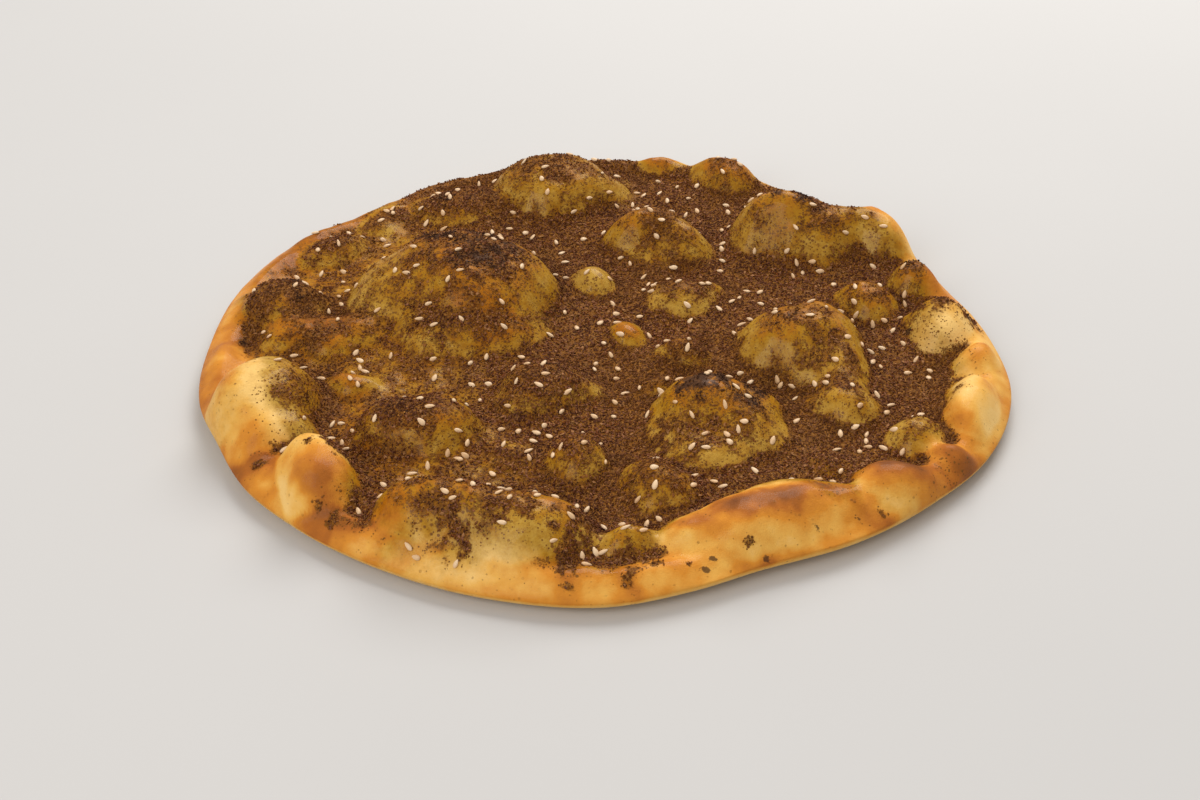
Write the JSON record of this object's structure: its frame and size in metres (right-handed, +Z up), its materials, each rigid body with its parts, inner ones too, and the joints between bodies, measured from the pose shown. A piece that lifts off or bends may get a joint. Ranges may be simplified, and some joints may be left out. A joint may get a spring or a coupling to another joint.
{
  "type": "flatbread",
  "caption": "Round za'atar manakish: an oily flatbread baked into uneven bubbles inside a golden rim, topped with herb and sumac crumbs and sesame seeds.",
  "frame": {"origin": "middle of the bread's bounding box, on the support that its underside rests on", "axes": "+Z up, -Y towards the side seen in front in the picture, +X to the right of it"},
  "size_m": [0.2918, 0.2827, 0.0349],
  "materials": {
    "baked_dough": "oily baked crust with herb topping"
  },
  "bodies": {
    "root": {"zaatar_manakish": "baked_dough"}
  },
  "joints": []
}
